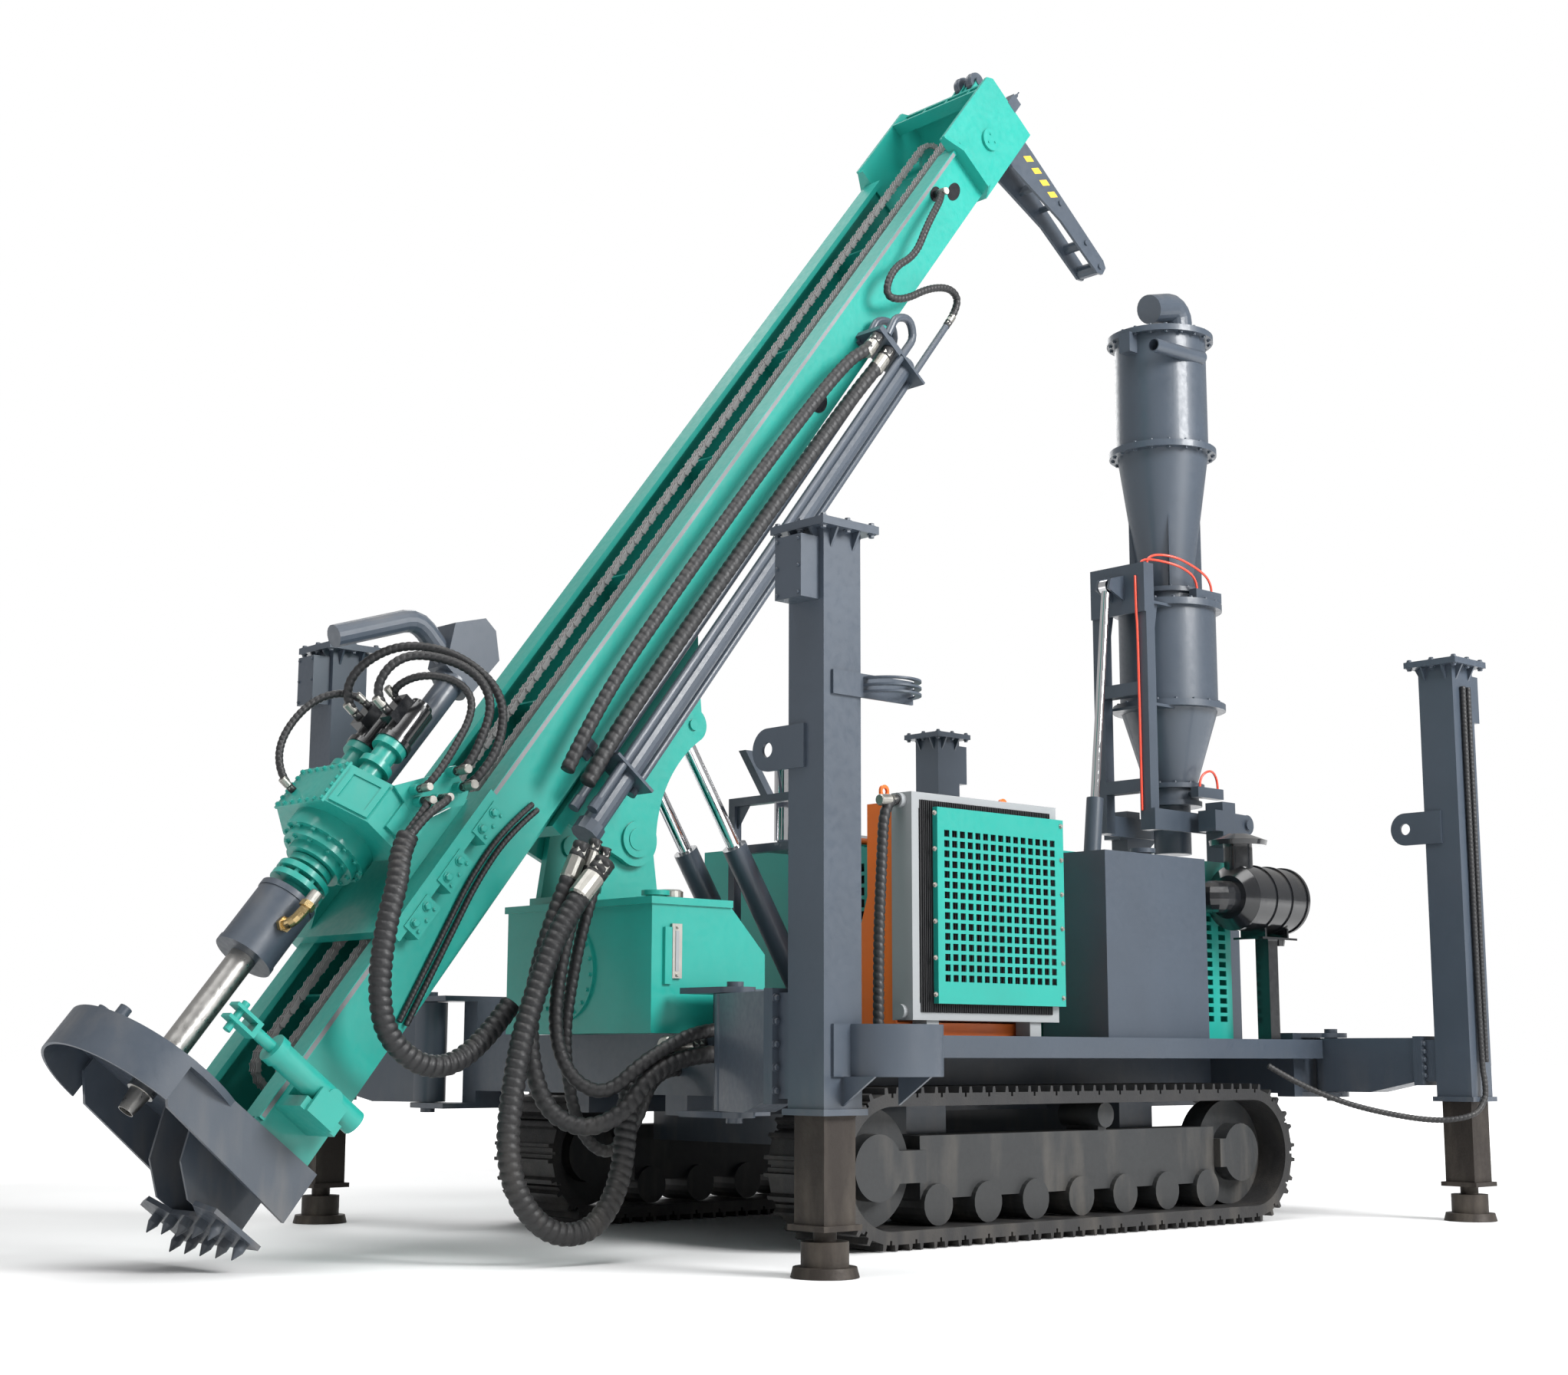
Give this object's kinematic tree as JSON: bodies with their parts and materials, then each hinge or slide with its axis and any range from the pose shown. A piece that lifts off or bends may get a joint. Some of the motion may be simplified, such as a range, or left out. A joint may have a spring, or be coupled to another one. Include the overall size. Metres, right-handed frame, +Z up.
{
  "type": "reverse circulation drilling rig",
  "caption": "Tracked drilling rig with a luffing and sliding mast, rotary head, cyclone and swing-out jack legs.",
  "frame": {"origin": "on the ground, at the middle of the overall box", "axes": "+Z up, +X from the drill end to the cyclone end, -Y the fuel tank's side"},
  "size_m": [7.036, 4.1592, 6.2801],
  "materials": {
    "dark_grey": "semi-gloss paint",
    "rubber": "worn rubber",
    "green": "semi-gloss paint",
    "raw_steel": "oiled raw steel",
    "light_grey": "satin paint",
    "orange": "satin paint",
    "black": "gloss paint",
    "chrome": "polished",
    "steel": "bare machined steel",
    "red": "smooth air line"
  },
  "bodies": {
    "chassis": {"chassis_frame": "dark_grey", "track_left": "rubber", "track_right": "rubber", "track_frame_left": "dark_grey", "track_frame_right": "dark_grey", "tower": "green", "luff_brackets": "dark_grey", "tilt_bracket": "dark_grey", "cyclone_stand": "dark_grey", "hydraulic_tank": "green", "engine_hood": "green", "engine_block": "raw_steel", "radiator": "light_grey", "radiator_grille": "green", "fan_shroud": "orange", "fuel_tank": "dark_grey", "vent_cabinet": "green", "air_cleaner": "black", "exhaust": "chrome", "railing": "dark_grey", "deck_hoses": "rubber"},
    "outrigger_front_left": {"arm_front_left": "dark_grey", "leg_front_left": "dark_grey", "rod_rack": "dark_grey"},
    "jack_front_left": {"foot_front_left": "raw_steel"},
    "outrigger_front_right": {"arm_front_right": "dark_grey", "leg_front_right": "dark_grey"},
    "jack_front_right": {"foot_front_right": "raw_steel"},
    "outrigger_rear_left": {"arm_rear_left": "dark_grey", "leg_rear_left": "dark_grey", "leg_hoses": "rubber"},
    "jack_rear_left": {"foot_rear_left": "raw_steel"},
    "outrigger_rear_right": {"arm_rear_right": "dark_grey", "leg_rear_right": "dark_grey"},
    "jack_rear_right": {"foot_rear_right": "raw_steel"},
    "luff_carrier": {"slide_frame": "green"},
    "luff_cylinder": {"luff_barrels": "dark_grey"},
    "luff_piston": {"luff_rods": "chrome"},
    "mast": {"mast_beam": "green", "mast_crown": "green", "feed_chains": "steel", "mast_pipes": "dark_grey", "mast_hoses": "rubber", "mast_foot": "dark_grey", "breakout_cylinder": "green"},
    "jib_arm": {"jib": "dark_grey"},
    "rotary_head": {"carriage": "green", "gearbox": "green", "head_motors": "black", "gooseneck": "dark_grey", "head_hoses": "rubber"},
    "spindle": {"coupling": "green", "swivel": "dark_grey", "drill_pipe": "steel"},
    "cyclone": {"cyclone_body": "dark_grey", "cyclone_frame": "dark_grey", "air_hoses": "red"},
    "tilt_cylinder": {"tilt_barrel": "dark_grey"},
    "tilt_piston": {"tilt_rod": "chrome"}
  },
  "joints": [
    {"name": "swing_front_left", "type": "hinge", "parent": "chassis", "child": "outrigger_front_left", "pos_m": [-1.10002, -1.06485, 0.8375], "axis": [0, 0, 1], "range_deg": [-65, 0]},
    {"name": "jack_front_left_slide", "type": "slide", "parent": "outrigger_front_left", "child": "jack_front_left", "axis": [0, 0, -1], "range_m": [-0.38, 0.8]},
    {"name": "swing_front_right", "type": "hinge", "parent": "chassis", "child": "outrigger_front_right", "pos_m": [-1.10002, 1.18515, 0.8375], "axis": [0, 0, -1], "range_deg": [-65, 0]},
    {"name": "jack_front_right_slide", "type": "slide", "parent": "outrigger_front_right", "child": "jack_front_right", "axis": [0, 0, -1], "range_m": [-0.38, 0.8]},
    {"name": "swing_rear_left", "type": "hinge", "parent": "chassis", "child": "outrigger_rear_left", "pos_m": [3.26998, -1.01485, 0.7825], "axis": [0, 0, -1], "range_deg": [-65, 0]},
    {"name": "jack_rear_left_slide", "type": "slide", "parent": "outrigger_rear_left", "child": "jack_rear_left", "axis": [0, 0, -1], "range_m": [-0.38, 0.8]},
    {"name": "swing_rear_right", "type": "hinge", "parent": "chassis", "child": "outrigger_rear_right", "pos_m": [3.26998, 1.13515, 0.7825], "axis": [0, 0, 1], "range_deg": [-65, 0]},
    {"name": "jack_rear_right_slide", "type": "slide", "parent": "outrigger_rear_right", "child": "jack_rear_right", "axis": [0, 0, -1], "range_m": [-0.38, 0.8]},
    {"name": "luff", "type": "hinge", "parent": "chassis", "child": "luff_carrier", "pos_m": [-0.96002, 0.06015, 1.783], "axis": [0, -1, 0], "range_deg": [-7, 38]},
    {"name": "mast_slide", "type": "slide", "parent": "luff_carrier", "child": "mast", "axis": [0.6157, 0, 0.788], "range_m": [-0.1, 0.9]},
    {"name": "feed", "type": "slide", "parent": "mast", "child": "rotary_head", "axis": [0.6157, 0, 0.788], "range_m": [-0.15, 3.8]},
    {"name": "spindle_turn", "type": "hinge", "parent": "rotary_head", "child": "spindle", "pos_m": [-2.27294, 0.06015, 1.8113], "axis": [0.6157, 0, 0.788], "continuous": true},
    {"name": "jib_turn", "type": "hinge", "parent": "mast", "child": "jib_arm", "pos_m": [1.65336, -0.14485, 5.89465], "axis": [0, -1, 0], "range_deg": [0, 70]},
    {"name": "luff_cylinder_turn", "type": "hinge", "parent": "chassis", "child": "luff_cylinder", "pos_m": [0.22998, 0.06015, 1.01], "axis": [0, -1, 0], "range_deg": [-1.63, 8.83]},
    {"name": "luff_piston_slide", "type": "slide", "parent": "luff_cylinder", "child": "luff_piston", "axis": [-0.5431, 0, 0.8397], "range_m": [-0.0622, 0.3375]},
    {"name": "cyclone_tilt", "type": "hinge", "parent": "chassis", "child": "cyclone", "pos_m": [3.42998, -0.03985, 2.15], "axis": [0, 1, 0], "range_deg": [-50, 0]},
    {"name": "tilt_cylinder_turn", "type": "hinge", "parent": "chassis", "child": "tilt_cylinder", "pos_m": [2.34998, -0.03985, 1.01], "axis": [0, 1, 0], "range_deg": [-25.47, 0]},
    {"name": "tilt_piston_slide", "type": "slide", "parent": "tilt_cylinder", "child": "tilt_piston", "axis": [0.1117, 0, 0.9937], "range_m": [-1.0549, 0]}
  ],
  "couplings": [
    {"joint": "luff_cylinder_turn", "follows": "luff", "ratio": 0.2279},
    {"joint": "luff_piston_slide", "follows": "luff", "m_per_rad": 0.499},
    {"joint": "tilt_cylinder_turn", "follows": "cyclone_tilt", "ratio": 0.4995},
    {"joint": "tilt_piston_slide", "follows": "cyclone_tilt", "m_per_rad": 1.1851}
  ]
}
